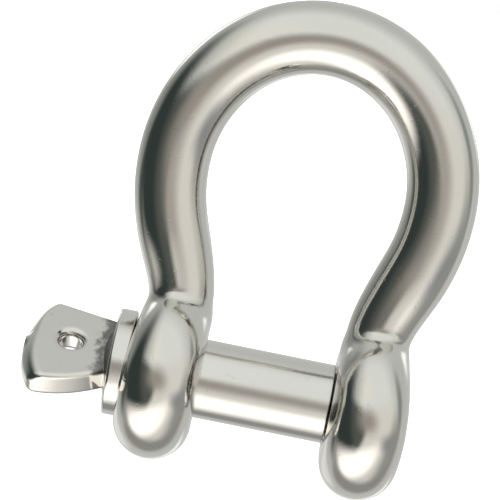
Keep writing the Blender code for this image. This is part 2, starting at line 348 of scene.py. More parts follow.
def cut(piece, tools):
    """Take tool solids out of a piece, keep the result as its mesh, and drop the tools."""
    for tool in tools:
        step = piece.modifiers.new(tool.name, "BOOLEAN")
        step.operation = "DIFFERENCE"
        step.solver = "EXACT"
        step.object = tool
    bpy.context.view_layer.update()
    seen = piece.evaluated_get(bpy.context.evaluated_depsgraph_get())
    mesh = bpy.data.meshes.new_from_object(seen)
    old = piece.data
    piece.modifiers.clear()
    piece.data = mesh
    mesh.name = piece.name
    bpy.data.meshes.remove(old)
    for tool in tools:
        old = tool.data
        bpy.data.objects.remove(tool)
        bpy.data.meshes.remove(old)
    return piece


def shade(piece, crease=28.0):
    """Smooth shading, with edges sharper than the crease angle left sharp."""
    mesh = piece.data
    mesh.shade_smooth()
    mesh.set_sharp_from_angle(angle=math.radians(crease))
    return piece


# ---------------------------------------------------------------- the bow


def bow_path(size):
    """The bar's centre from the bottom of the right eye to the crown.

    Upright through the eye and the neck, a cubic curve up the flank that is upright at
    both ends, and a quarter of an ellipse to the crown. Returns x, z, bar radius, the two
    parts of the direction, and the share by which a ring is inside the eye.
    """
    middle = size.jaw_gap / 2 + size.eye_thickness / 2
    reach = size.eye_diameter / 2
    neck_z = reach * size.neck_height
    widest = size.inside_width / 2 + size.bar_flank / 2
    crown = size.inside_length + size.bar_crown / 2
    turn = np.linspace(0.02, math.pi / 2, 46)
    z_eye = -reach * np.cos(turn)
    x_eye = np.full_like(z_eye, middle)
    t = np.linspace(0, 1, 47)[1:]
    z_neck = neck_z * t
    x_neck = middle - size.neck_set_in * ease(t)
    t = np.linspace(0, 1, 45)[1:]
    u = 1.0 - t
    rise = size.widest_height - neck_z
    z_flank = (
        neck_z * u**3
        + 3 * (neck_z + size.neck_handle * rise) * u * u * t
        + 3 * (size.widest_height - size.flank_handle * rise) * u * t * t
        + size.widest_height * t**3
    )
    x_flank = (middle - size.neck_set_in) * (u**3 + 3 * u * u * t) + widest * (3 * u * t * t + t**3)
    turn = np.linspace(0, math.pi / 2, 53)[1:]
    z_crown = size.widest_height + (crown - size.widest_height) * np.sin(turn)
    x_crown = widest * np.cos(turn)
    x = np.concatenate([x_eye, x_neck, x_flank, x_crown])
    z = np.concatenate([z_eye, z_neck, z_flank, z_crown])
    dx = np.gradient(x)
    dz = np.gradient(z)
    dx[z <= neck_z] = 0.0
    dx[-1] = -1.0
    dz[-1] = 0.0
    step = np.hypot(dx, dz)
    bar = size.bar_neck + (size.bar_flank - size.bar_neck) * ease((z - neck_z) / size.neck_taper)
    bar += (size.bar_crown - size.bar_flank) * ease(
        (z - size.widest_height) / (crown - size.widest_height)
    )
    bar += (BAR_INSIDE_EYE - size.bar_neck) * ease((neck_z - z) / neck_z)
    into_eye = 1.0 - ease((z - 0.6 * neck_z) / (0.7 * neck_z))
    return x, z, bar / 2, dx / step, dz / step, into_eye


def eye_field(size, x, y, z):
    """Negative inside the right eye: a disc about X with flat faces and an elliptic rim,
    hypot(distance past the flat, distance from the middle plane) less half the thickness.
    The outer face bends inward above its start by the square of the height."""
    half = size.eye_thickness / 2
    flat = size.eye_flat / 2
    across = x - (size.jaw_gap / 2 + half)
    above = np.maximum(z + size.outer_face_start, 0.0)
    thinner = half / (half - above**2 / (2 * size.outer_face_radius))
    across = np.where(across > 0, across * thinner, across)
    beyond = np.maximum(np.hypot(y, z) - flat, 0.0) * half / (size.eye_diameter / 2 - flat)
    return np.hypot(beyond, across) - half


def unevenness(x, y, z):
    """A soft unevenness from 0 to 1: four slanted sine waves, 5 to 11 mm long, averaged."""
    waves = (
        (0.93, 0.41, 0.62, 0.3),
        (-0.55, 0.83, 0.71, 1.9),
        (0.37, -0.66, 1.07, 4.1),
        (-1.12, -0.28, 0.46, 2.6),
    )
    total = 0.0
    for a, b, c, start in waves:
        total = total + np.sin((a * x + b * y + c * z) / MM + start)
    return 0.5 + total / 8.0


def bow_rings(size, around):
    """The whole bow as rings square to its path.

    Each spoke is halved to the zero of the filleted sum of the bar, a round of the
    path's radius, and the eye; a soft unevenness is then taken off. The left half is the
    right half mirrored.
    """
    x, z, radius, dir_x, dir_z, into_eye = (a[:, None] for a in bow_path(size))
    across, aside = spokes(around, 1.0 + 0.9 * into_eye[:, 0])

    def field(reach):
        bar = np.where(z < 0.0, size.eye_diameter, reach - radius)
        eye = eye_field(
            size,
            x + dir_z * across * reach,
            aside * reach,
            z - dir_x * across * reach,
        )
        return fillet_union(bar, eye, size.eye_fillet)

    reach = halve_to_zero(field, np.full_like(across, size.eye_diameter))
    half = np.stack(
        [x + dir_z * across * reach, aside * reach, z - dir_x * across * reach], axis=2
    )
    both = np.concatenate([half, half[:-1][::-1] * np.array([-1.0, 1.0, 1.0])])
    path = np.stack([x[:, 0], 0 * x[:, 0], z[:, 0]], axis=1)
    path = np.concatenate([path, path[:-1][::-1] * np.array([-1.0, 1.0, 1.0])])[:, None, :]
    spoke = both - path
    size_now = np.linalg.norm(spoke, axis=2, keepdims=True)
    flat = np.abs(np.abs(both[..., :1]) - size.jaw_gap / 2) < 0.02 * MM
    depth = size.waviness * unevenness(both[..., 0], both[..., 1], both[..., 2])[..., None]
    depth = np.where(flat, 0.0, depth)
    return both - spoke / np.maximum(size_now, 1e-9) * depth


def bore_tools(size, pin):
    """The turned solids that bore the eyes: plain with a collar seat, and for the thread."""
    gap = size.jaw_gap / 2
    outer = gap + size.eye_thickness
    seat = outer - size.seat_depth
    past = 1.5 * MM
    plain = size.plain_bore / 2
    rim = BORE_RIM
    seat_radius = pin.collar_diameter / 2 + SEAT_MARGIN
    left = [(-outer - past, 0.0), (-outer - past, seat_radius + 0.2 * MM)]
    left += [
        (-outer + 0.1 * MM, seat_radius + 0.2 * MM),
        (-seat - 0.15 * MM, seat_radius),
        (-seat, seat_radius - 0.1 * MM),
        (-seat, plain + rim),
    ]
    left += corner_arc(-seat + rim, plain + rim, rim, 180, 270)[1:]
    left += corner_arc(-gap - rim, plain + rim, rim, 270, 360)
    left += [(-gap + past, plain + rim), (-gap + past, 0.0)]
    tapped = size.tapped_bore / 2
    mouth = TAPPED_MOUTH
    right = [(gap - past, 0.0), (gap - past, tapped + mouth)]
    right += corner_arc(gap + mouth, tapped + mouth, mouth, 180, 270)
    right += corner_arc(outer - mouth, tapped + mouth, mouth, 270, 360)
    right += [(outer + past, tapped + mouth), (outer + past, 0.0)]
    return [turned("plain_tool", left), turned("tapped_tool", right)]


def thread_height(x, turn, pitch):
    """The thread's height from 0 to 1 at a place along X and a turn: a sixty-degree wave
    with a flat crest and a rounded root, which climbs one pitch for each turn."""
    phase = (x / pitch - turn / (2 * math.pi)) % 1.0
    rise = np.abs(phase * 2.0 - 1.0)
    return np.clip((rise - 0.12) / 0.70, 0.0, 1.0)


def tapped_rings(size, pin, around):
    """The inner thread as a sleeve let into the eye: a closed band of rings whose inner
    side follows the pin's thread with a running clearance."""
    gap = size.jaw_gap / 2
    start = gap + SLEEVE_START
    end = gap + size.eye_thickness - SLEEVE_END
    x = np.linspace(start, end, 120)
    turn = np.arange(around) * (2 * math.pi / around)
    height = thread_height(x[:, None], turn[None, :], pin.thread_pitch)
    root = pin.thread_root / 2 + THREAD_CLEARANCE
    crest = pin.thread_crest / 2 + THREAD_CLEARANCE
    radius = root + (crest - root) * height
    lead = np.minimum((x - start) / SLEEVE_LEAD, (end - x) / SLEEVE_LEAD)[:, None]
    radius = np.maximum(radius, crest - (crest - root) * np.clip(lead, 0.0, 1.0))
    hidden = size.tapped_bore / 2 + SLEEVE_WALL
    back = np.full((2, around), hidden)
    all_x = np.concatenate([x, [end, start]])
    return round_rings(all_x, np.concatenate([radius, back]), turn)


# ---------------------------------------------------------------- the pin


def flared_sides(pin, d):
    """The half widths of the tab's straight far side and its waisted near side."""
    far = pin.tab_far_collar + (pin.tab_far_end - pin.tab_far_collar) * d / pin.tab_length
    left = 1.0 - np.clip(d / pin.tab_near_flare, 0.0, 1.0)
    near = pin.tab_near_end - (pin.tab_near_end - pin.tab_near_collar) * left * left
    return far, near


def tab_field(pin, face, x, w, h):
    """Negative inside the tab: the filled outline between two flat faces.

    The far side flares straight, the near side in a curve from its waist,
    near_end - (near_end - near_collar) (1 - d / flare)^2, and the end is an arc. Each
    meeting of two sides is rounded by adding the squares of the distances past them.
    """
    def rounded(a, b, radius):
        inside = np.minimum(np.maximum(a + radius, b + radius), 0.0)
        outside = np.hypot(np.maximum(a + radius, 0.0), np.maximum(b + radius, 0.0))
        return inside + outside - radius

    d = face - x
    h = h - pin.tab_above_axis
    far, near = flared_sides(pin, d)
    side = np.where(w > 0, w - far, -w - near)
    # the end leans back toward its upper edge
    half = pin.tab_thickness / 2
    lean = pin.tab_end_edge * np.clip(h / half, 0.0, 1.0) ** 1.6
    back = lean * ease((LEAN_ENDS_AT - w) / LEAN_FADE)
    end = np.hypot(d + back - (pin.tab_length - pin.tab_end_radius), w + pin.tab_end_shift)
    end = end - pin.tab_end_radius
    outline = rounded(side, end, pin.tab_corner)
    return rounded(outline, np.abs(h) - half, pin.tab_edge)


def collar_radius(pin, seat, x):
    """The collar's radius along X: full over its rim, a cone down from it, and a hollow
    curve that runs out into the tab."""
    full = pin.collar_diameter / 2
    rim_end = seat - pin.collar_rim
    face = seat - pin.collar_thickness
    edge = COLLAR_ROUND
    t = np.clip((rim_end - x) / edge, 0.0, 1.0)
    rounded = full - edge * (1.0 - np.sqrt(1.0 - 0.98 * t * t))
    t = np.clip((rim_end - edge - x) / (rim_end - edge - face), 0.0, 1.0)
    cone = rounded - (full - edge - CONE_END_RADIUS) * t
    past = np.clip((face - x) / CORE_LENGTH, 0.0, 1.0)
    return cone * (1 - past) ** 1.5 + CORE_RADIUS * past


def tab_sides(pin, d):
    """The tab's half widths on the far and the near side at a distance from the collar,
    cut down to the arc of its end."""
    far, near = flared_sides(pin, d)
    reach = d - (pin.tab_length - pin.tab_end_radius)
    arc = np.sqrt(np.maximum(pin.tab_end_radius**2 - np.maximum(reach, 0.0) ** 2, 0.0))
    far = np.minimum(far, arc - pin.tab_end_shift)
    near = np.minimum(near, arc + pin.tab_end_shift)
    return np.maximum(far, 0.2 * MM), np.maximum(near, 0.2 * MM)


def tab_spokes(pin, d, square, around):
    """Spokes that follow the tab's four edges from ring to ring.

    They aim at points along the sides of the tab's section, which crowd toward its
    corners as a cosine does; square 0 turns them back into even spokes round a circle.
    """
    far, near = (v[:, None] for v in tab_sides(pin, d))
    half = pin.tab_thickness / 2
    flat, side = 3 * around // 10, around // 5
    run = 0.5 - 0.5 * np.cos(np.linspace(0, math.pi, flat + 1)[:-1])[None, :]
    rise = 0.5 - 0.5 * np.cos(np.linspace(0, math.pi, side + 1)[:-1])[None, :]
    low, high = pin.tab_above_axis - half, pin.tab_above_axis + half
    across = [far - (far + near) * run, -near + 0 * rise, (far + near) * run - near, far + 0 * rise]
    aside = [high + 0 * run, high - (high - low) * rise, low + 0 * run, low + (high - low) * rise]
    across = np.concatenate([part + 0 * far for part in across], axis=1)
    aside = np.concatenate([part + 0 * far for part in aside], axis=1)
    even = 2 * math.pi * np.arange(across.shape[1]) / across.shape[1]
    even = even + 0.2 * math.pi
    turn = np.unwrap(np.arctan2(aside, across), axis=1)
    turn = square[:, None] * turn + (1.0 - square[:, None]) * even[None, :]
    return np.cos(turn), np.sin(turn)


def pin_rings(size, pin, around):
    """The screw pin as rings square to X, from the end of the tab to the thread's end.

    Where the tab is, each spoke is halved to the zero of the filleted sum of tab and
    collar. Beyond the collar the radius is a turned profile, and over the thread it
    follows the helix.
    """
    gap = size.jaw_gap / 2
    outer = gap + size.eye_thickness
    seat = -(outer - size.seat_depth) - SEAT_GAP
    face = seat - pin.collar_thickness
    rim_end = seat - pin.collar_rim
    # the middle of the end, found along the axis
    probe = np.array([face])
    beyond = np.array([1.2 * pin.tab_length])
    tip = face - halve_to_zero(
        lambda d: tab_field(pin, face, probe - d, 0.0 * d, 0.0 * d), beyond
    )[0]
    turn = np.linspace(0.012, math.pi / 2, 110)
    x_tab = tip + (face - CORE_LENGTH - tip) * (1 - np.cos(turn))
    rim_part = np.linspace(rim_end, rim_end + TURN_EVEN_BY, 16)
    x_tab = np.concatenate([x_tab, np.linspace(face - CORE_LENGTH, rim_end, 52), rim_part])
    x_tab = np.unique(np.round(x_tab, 9))
    # the spokes turn even again along the rim, where the section is already round
    square = ease((rim_end + TURN_EVEN_BY - x_tab) / TURN_EVEN_OVER)
    across, aside = tab_spokes(pin, face - x_tab, square, around)
    around = across.shape[1]
    x = x_tab[:, None]
    full = collar_radius(pin, seat, x)

    def field(reach):
        tab = tab_field(pin, face, x, across * reach, aside * reach)
        collar = reach - full
        return fillet_union(collar, tab, pin.tab_fillet)

    reach = halve_to_zero(field, np.full_like(across, FARTHEST))
    whole = x_tab[:, None] > rim_end - 0.1 * MM
    reach = np.where(whole, np.minimum(reach, pin.collar_diameter / 2), reach)
    lean = math.pi / 2 - pin.tab_turn
    head_w, head_h = across * reach, aside * reach
    head = np.stack(
        [
            x + 0 * head_w,
            head_w * math.cos(lean) - head_h * math.sin(lean),
            head_w * math.sin(lean) + head_h * math.cos(lean),
        ],
        axis=2,
    )
    # from here on the rings are round
    edge = COLLAR_EDGE
    full = pin.collar_diameter / 2
    shank = pin.diameter / 2
    relief = pin.relief_diameter / 2
    shank_end = gap - SHANK_END_GAP
    foot, groove, nose = SHANK_FOOT, RELIEF_ROUND, SHANK_NOSE
    thread_start = shank_end + pin.relief_length
    profile = [(seat - edge - 0.3 * MM, full)]
    profile += corner_arc(seat - edge, full - edge, edge, 90, 0, 5)
    profile += [(seat, shank + 0.6 * MM), (seat, shank + foot)]
    profile += corner_arc(seat + foot, shank + foot, foot, 180, 270, 5)[1:]
    plain_part = np.linspace(seat + 1.0 * MM, shank_end - 0.4 * MM, 24)
    profile += [(px, shank) for px in plain_part]
    profile += corner_arc(shank_end - nose, shank - nose, nose, 90, 0, 6)
    profile += [(shank_end, relief + groove)]
    profile += corner_arc(shank_end + groove, relief + groove, groove, 180, 270, 5)[1:]
    profile += [(thread_start - 0.1 * MM, relief)]
    px, pr = np.array(profile, float).T
    thread_end = outer - THREAD_SET_BACK
    tx = np.linspace(thread_start, thread_end, 150)
    turn = np.arctan2(head[-1, :, 2], head[-1, :, 1])
    height = thread_height(tx[:, None], turn[None, :], pin.thread_pitch)
    root, crest = pin.thread_root / 2, pin.thread_crest / 2
    radius = root + (crest - root) * height
    lead = relief + (crest - relief) * np.clip((tx - thread_start) / THREAD_LEAD, 0, 1)
    chamfer = crest - THREAD_CHAMFER * (1 - np.clip((thread_end - tx) / THREAD_CHAMFER, 0, 1))
    radius = np.minimum(radius, np.minimum(lead, chamfer)[:, None])
    cap = np.linspace(1, 0, 6)[1:-1]
    end_radius = radius[-1].min() * cap
    all_x = np.concatenate([px, tx, np.full(len(cap), thread_end)])
    level = np.ones((1, len(turn)))
    all_r = np.concatenate([pr[:, None] * level, radius, end_radius[:, None] * level])
    body = round_rings(all_x, all_r, turn)
    rings = np.concatenate([head, body])
    return rings, [(tip, 0.0, 0.0), (thread_end, 0.0, 0.0)], face


def hole_tool(pin, face):
    """The turned solid that drills the tab, opened at both faces by a round rim."""
    radius = pin.tab_hole / 2
    half = pin.tab_thickness / 2
    rim = pin.tab_hole_rim
    past = 1.0 * MM
    profile = [(-half - past, 0.0), (-half - past, radius + rim)]
    profile += corner_arc(-half + rim, radius + rim, rim, 180, 270, 9)
    profile += corner_arc(half - rim, radius + rim, rim, 270, 360, 9)
    profile += [(half + past, radius + rim), (half + past, 0.0)]
    tool = turned("hole_tool", profile, around=96)
    lean = math.pi / 2 - pin.tab_turn
    upright = Matrix.Rotation(math.radians(-90), 4, "Y")
    place = Matrix.Translation((face - pin.tab_hole_place, 0.0, 0.0))
    aside = Matrix.Translation((0.0, pin.tab_hole_shift, pin.tab_above_axis))
    tool.data.transform(place @ Matrix.Rotation(lean, 4, "X") @ aside @ upright)
    tool.data.update()
    if signed_volume(tool.data) < 0:
        tool.data.flip_normals()
    return tool


# ---------------------------------------------------------------- shader groups

STEEL_OUTPUTS = [
    ("Colour", "NodeSocketColor"),
    ("Roughness", "NodeSocketFloat"),
    ("Height", "NodeSocketFloat"),
]


class Nodes:
    """A node tree with short ways to add nodes and links."""

    def __init__(self, tree):
        self.tree = tree

    def add(self, kind, values=None, **settings):
        """A node of a kind, its settings, and its inputs by name or number."""
        made = self.tree.nodes.new(kind)
        for key, value in settings.items():
            setattr(made, key, value)
        for key, value in (values or {}).items():
            if isinstance(value, bpy.types.NodeSocket):
                self.tree.links.new(value, made.inputs[key])
            else:
                made.inputs[key].default_value = value
        return made

    def sum(self, operation, *values, clamp=False):
        """A Math node of up to three values."""
        return self.add(
            "ShaderNodeMath", dict(enumerate(values)), operation=operation, use_clamp=clamp
        ).outputs[0]

    def vector(self, operation, *values):
        """A Vector Math node's vector."""
        return self.add("ShaderNodeVectorMath", dict(enumerate(values)), operation=operation).outputs[0]

    def dot(self, a, b):
        """The scalar product of two vectors."""
        return self.add("ShaderNodeVectorMath", {0: a, 1: b}, operation="DOT_PRODUCT").outputs["Value"]

    def smooth_range(self, value, low, high, to_low=0.0, to_high=1.0):
        """A value carried smoothly from one range to another."""
        return self.add(
            "ShaderNodeMapRange",
            {"Value": value, "From Min": low, "From Max": high, "To Min": to_low, "To Max": to_high},
            interpolation_type="SMOOTHSTEP",
        ).outputs[0]

    def straight_range(self, value, low, high, to_low=0.0, to_high=1.0):
        """A value carried straight from one range to another, and clamped."""
        return self.add(
            "ShaderNodeMapRange",
            {"Value": value, "From Min": low, "From Max": high, "To Min": to_low, "To Max": to_high},
        ).outputs[0]

    def noise(self, where, scale, detail=2.0, roughness=0.5):
        """A noise value."""
        return self.add(
            "ShaderNodeTexNoise",
            {"Vector": where, "Scale": scale, "Detail": detail, "Roughness": roughness},
        ).outputs["Fac"]

    def blend(self, share_of, a, b):
        """Two colours blended by a share."""
        made = self.add("ShaderNodeMix", data_type="RGBA")
        for socket, value in ((made.inputs[0], share_of), (made.inputs[6], a), (made.inputs[7], b)):
            if isinstance(value, bpy.types.NodeSocket):
                self.tree.links.new(value, socket)
            else:
                socket.default_value = value
        return made.outputs[2]


def new_group(name, inputs, outputs):
    """An empty shader group with named inputs and outputs, given as (name, kind, default)."""
    tree = bpy.data.node_groups.new(name, "ShaderNodeTree")
    for title, kind, default in inputs:
        socket = tree.interface.new_socket(title, in_out="INPUT", socket_type=kind)
        if default is not None:
            socket.default_value = default
    for title, kind in outputs:
        tree.interface.new_socket(title, in_out="OUTPUT", socket_type=kind)
    nodes = Nodes(tree)
    start = tree.nodes.new("NodeGroupInput")
    end = tree.nodes.new("NodeGroupOutput")
    return nodes, start.outputs, end.inputs


def polish_group():
    """Polished steel: a fine satin grain, small pores and a faint haze, as a height, a roughness and a
    shade of the colour."""
    name = "polished_steel"
    if name in bpy.data.node_groups:
        return bpy.data.node_groups[name]
    nodes, given, out = new_group(
        name,
        [
            ("Vector", "NodeSocketVector", None),
            ("Colour", "NodeSocketColor", (0.66, 0.65, 0.61, 1.0)),
            ("Roughness", "NodeSocketFloat", 0.15),
            ("Grain", "NodeSocketFloat", 1.0),
            ("Haze", "NodeSocketFloat", 1.0),
        ],
        STEEL_OUTPUTS,
    )
    where = given["Vector"]
    grain = nodes.noise(where, 5200.0, 3.0, 0.6)
    pores = nodes.noise(where, 2300.0, 2.0, 0.5)
    soft = nodes.noise(where, 260.0, 3.0, 0.55)
    haze = nodes.noise(where, 95.0, 4.0, 0.6)
    fine = nodes.sum("MULTIPLY", nodes.sum("SUBTRACT", grain, 0.5), given["Grain"])
    dots = nodes.smooth_range(pores, 0.62, 0.74)
    tops = nodes.sum("MULTIPLY", dots, given["Grain"])
    height = nodes.sum("MULTIPLY_ADD", soft, 1.6, nodes.sum("MULTIPLY", fine, 0.8))
    height = nodes.sum("MULTIPLY_ADD", tops, -0.9, height)
    nodes.tree.links.new(height, out["Height"])
    cloud = nodes.sum("MULTIPLY", nodes.smooth_range(haze, 0.35, 0.7), given["Haze"])
    rough = nodes.sum("MULTIPLY_ADD", cloud, 0.06, given["Roughness"])
    rough = nodes.sum("MULTIPLY_ADD", fine, 0.10, rough)
    nodes.tree.links.new(nodes.sum("MAXIMUM", rough, 0.04), out["Roughness"])
    shade_of = nodes.sum("MULTIPLY_ADD", cloud, 0.10, nodes.sum("MULTIPLY", dots, 0.12))
    darker = nodes.vector("MULTIPLY", given["Colour"], (0.80, 0.80, 0.80))
    nodes.tree.links.new(nodes.blend(shade_of, given["Colour"], darker), out["Colour"])
    return nodes.tree


def skin_and_painted_shade_group():
    """As-cast surface where the wheel can't reach, with painted shade: pits, rougher blotches, and the
    colour darkened in those blotches as painted shade, by a mask.
    """
    name = "cast_skin"
    if name in bpy.data.node_groups:
        return bpy.data.node_groups[name]
    nodes, given, out = new_group(
        name,
        [
            ("Vector", "NodeSocketVector", None),
            ("Colour", "NodeSocketColor", (0.66, 0.65, 0.61, 1.0)),
            ("Roughness", "NodeSocketFloat", 0.15),
            ("Height", "NodeSocketFloat", 0.0),
            ("Mask", "NodeSocketFloat", 0.0),
        ],
        STEEL_OUTPUTS,
    )
    where = given["Vector"]
    blotch = nodes.noise(where, 900.0, 4.0, 0.65)
    pits = nodes.noise(where, 2600.0, 3.0, 0.6)
    edge = nodes.sum("MULTIPLY_ADD", nodes.sum("SUBTRACT", blotch, 0.5), 2.0, given["Mask"])
    mask = nodes.smooth_range(edge, 0.25, 1.0)
    # painted shade: where the mask is, the colour is drawn toward a fifth of itself, standing in for
    # the shadow in the corner between tab and collar
    painted_shade_colour = nodes.vector("MULTIPLY", given["Colour"], (0.20, 0.20, 0.205))
    nodes.tree.links.new(
        nodes.blend(nodes.sum("MULTIPLY", mask, 0.85), given["Colour"], painted_shade_colour), out["Colour"]
    )
    rough = nodes.sum("MULTIPLY_ADD", mask, 0.34, given["Roughness"])
    nodes.tree.links.new(rough, out["Roughness"])
    low = nodes.sum("MULTIPLY", nodes.smooth_range(pits, 0.45, 0.8), mask)
    nodes.tree.links.new(nodes.sum("MULTIPLY_ADD", low, -2.5, given["Height"]), out["Height"])
    return nodes.tree


def principled(name, metallic=1.0):
    """A new material, its node helper and its Principled shader."""
    made = bpy.data.materials.new(name)
    made.use_nodes = True
    nodes = Nodes(made.node_tree)
    shader = made.node_tree.nodes["Principled BSDF"]
    shader.inputs["Metallic"].default_value = metallic
    return made, nodes, shader


def place_group(nodes, tree, values):
    """A shader group placed in a material, its inputs set by name."""
    made = nodes.tree.nodes.new("ShaderNodeGroup")
    made.node_tree = tree
    for key, value in values.items():
        if isinstance(value, bpy.types.NodeSocket):
            nodes.tree.links.new(value, made.inputs[key])
        else:
            made.inputs[key].default_value = value
    return made.outputs


def finish_steel(nodes, shader, outputs, depth):
    """Wire a group's colour, roughness and height into the Principled shader."""
    nodes.tree.links.new(outputs["Colour"], shader.inputs["Base Color"])
    nodes.tree.links.new(outputs["Roughness"], shader.inputs["Roughness"])
    bump = nodes.add(
        "ShaderNodeBump", {"Strength": 1.0, "Distance": depth, "Height": outputs["Height"]}
    )
    nodes.tree.links.new(bump.outputs[0], shader.inputs["Normal"])


def bow_steel(size):
    """Polished cast steel: grain and haze all over."""
    made, nodes, shader = principled("polished_cast_steel")
    where = nodes.add("ShaderNodeTexCoord").outputs["Object"]
    polish = place_group(
        nodes,
        polish_group(),
        {
            "Vector": where,
            "Colour": (*size.steel, 1.0),
            "Roughness": size.roughness,
            "Grain": 1.0,
            "Haze": 1.0,
        },
    )
    finish_steel(nodes, shader, polish, BUMP_DEPTH)
    return made


def pin_steel(size, pin):
    """Turned steel on the shank, polished cast steel on the tab, and in the corner between tab and
    collar a rough, pitted as-cast surface darkened by painted shade."""
    made, nodes, shader = principled("turned_pin_steel")
    where = nodes.add("ShaderNodeTexCoord").outputs["Object"]
    apart = nodes.add("ShaderNodeSeparateXYZ", {0: where}).outputs
    seat = -(size.jaw_gap / 2 + size.eye_thickness - size.seat_depth)
    face = seat - pin.collar_thickness
    shank = nodes.straight_range(apart["X"], seat, seat + 0.2 * MM)
    rings = nodes.add(
        "ShaderNodeTexNoise",
        {
            "Vector": nodes.add("ShaderNodeCombineXYZ", {"X": apart["X"]}).outputs[0],
            "Scale": 6500.0,
            "Detail": 4.0,
            "Roughness": 0.7,
        },
    ).outputs["Fac"]
    polish = place_group(
        nodes,
        polish_group(),
        {
            "Vector": where,
            "Colour": (*pin.steel, 1.0),
            "Roughness": nodes.sum("MULTIPLY_ADD", shank, 0.04, pin.roughness - 0.02),
            "Grain": 0.8,
            "Haze": 1.0,
        },
    )
    # mask of the corner between tab and collar, near the tab's faces: a rough as-cast surface there,
    # with painted shade darkening it
    near = nodes.sum("ABSOLUTE", nodes.sum("SUBTRACT", apart["X"], face - 0.2 * MM))
    corner = nodes.smooth_range(near, 2.3 * MM, 0.2 * MM)
    square_to_pin = nodes.add("ShaderNodeCombineXYZ", {"Y": apart["Y"], "Z": apart["Z"]})
    away = nodes.add(
        "ShaderNodeVectorMath", {0: square_to_pin.outputs[0]}, operation="LENGTH"
    ).outputs["Value"]
    corner = nodes.sum("MULTIPLY", corner, nodes.smooth_range(away, 5.3 * MM, 4.6 * MM))
    lean = math.pi / 2 - pin.tab_turn
    over = nodes.dot(where, (0.0, -math.sin(lean), math.cos(lean)))
    on_face = nodes.smooth_range(nodes.sum("ABSOLUTE", over), 0.7 * MM, 1.2 * MM)
    corner = nodes.sum("MULTIPLY", corner, on_face)
    ringed = nodes.sum("MULTIPLY", rings, shank)
    # the corner's rough as-cast surface and its painted shade laid over the polish
    skin_and_shade = place_group(
        nodes,
        skin_and_painted_shade_group(),
        {
            "Vector": where,
            "Colour": polish["Colour"],
            "Roughness": polish["Roughness"],
            "Height": nodes.sum("MULTIPLY_ADD", ringed, 1.3, polish["Height"]),
            "Mask": corner,
        },
    )
    finish_steel(nodes, shader, skin_and_shade, BUMP_DEPTH)
    return made


# ---------------------------------------------------------------- operators


class SHACKLE_OT_bow(bpy.types.Operator):
    """Build the cast bow with its two bored eyes, and the thread in the right eye"""

    bl_idname = "shackle.bow"
    bl_label = "Bow"

    def execute(self, context):
        scene = context.scene
        size, pin, detail = scene.shackle_bow, scene.shackle_pin, scene.shackle_detail
        rings = bow_rings(size, detail.bow_spokes)
        middle = size.jaw_gap / 2 + size.eye_thickness / 2
        low = -size.eye_diameter / 2
        bow = ring_mesh("cast_bow", rings, [(middle, 0, low), (-middle, 0, low)])
        cut(bow, bore_tools(size, pin))
        shade(bow)
        steel = bow_steel(size)
        bow.data.materials.clear()
        bow.data.materials.append(steel)
        sleeve = ring_mesh("tapped_thread", tapped_rings(size, pin, 144))
        shade(sleeve, 50.0)
        sleeve.data.materials.append(steel)
        for piece in (bow, sleeve):
            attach(piece, "bow")
        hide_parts("bow")
        return {"FINISHED"}


class SHACKLE_OT_screw_pin(bpy.types.Operator):
    """Build the screw pin: tab, collar, shank and thread"""

    bl_idname = "shackle.screw_pin"
    bl_label = "Screw pin"

    def execute(self, context):
        scene = context.scene
        size, pin, detail = scene.shackle_bow, scene.shackle_pin, scene.shackle_detail
        rings, tips, face = pin_rings(size, pin, detail.pin_spokes)
        piece = ring_mesh("threaded_pin", rings, tips)
        cut(piece, [hole_tool(pin, face)])
        shade(piece, 32.0)
        piece.data.materials.clear()
        piece.data.materials.append(pin_steel(size, pin))
        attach(piece, "screw_pin")
        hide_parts("screw_pin")
        return {"FINISHED"}


class SHACKLE_OT_stage(bpy.types.Operator):
    """Set the pale floor, the studio light and the camera"""

    bl_idname = "shackle.stage"
    bl_label = "Stage"

    def execute(self, context):
        make_floor(context.scene.shackle_stage)
        make_world()
        make_camera(context.scene.shackle_stage)
        return {"FINISHED"}


def make_floor(stage):
    """A wide pale sheet under the shackle, lit a little from below as a light table is."""
    low = min(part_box("bow")[0].z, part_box("screw_pin")[0].z)
    reach = stage.floor_size / 2
    grid = np.linspace(-reach, reach, 9)
    x, y = np.meshgrid(grid, grid, indexing="ij")
    points = np.stack([x, y, np.full_like(x, low - 0.02 * MM)], axis=2).reshape(-1, 3)
    i, j = np.meshgrid(np.arange(8), np.arange(8), indexing="ij")
    first = (i * 9 + j).ravel()
    faces = np.stack([first, first + 9, first + 10, first + 1], axis=1)
    mesh = bpy.data.meshes.new("floor")
    mesh.from_pydata(points.tolist(), [], faces.tolist())
    floor = bpy.data.objects.new("floor", mesh)
    bpy.context.scene.collection.objects.link(floor)
    made, _, shader = principled("pale_floor", metallic=0.0)
    shader.inputs["Base Color"].default_value = (*stage.floor_colour, 1.0)
    shader.inputs["Roughness"].default_value = 0.9
    shader.inputs["Emission Color"].default_value = (1.0, 1.0, 1.0, 1.0)
    shader.inputs["Emission Strength"].default_value = 0.85
    mesh.materials.append(made)
    floor.visible_glossy = False
    return floor


def direction(azimuth, elevation):
    """A unit vector: azimuth 0 is toward -Y, positive toward +X, in degrees."""
    a, e = math.radians(azimuth), math.radians(elevation)
    return (math.sin(a) * math.cos(e), -math.cos(a) * math.cos(e), math.sin(e))


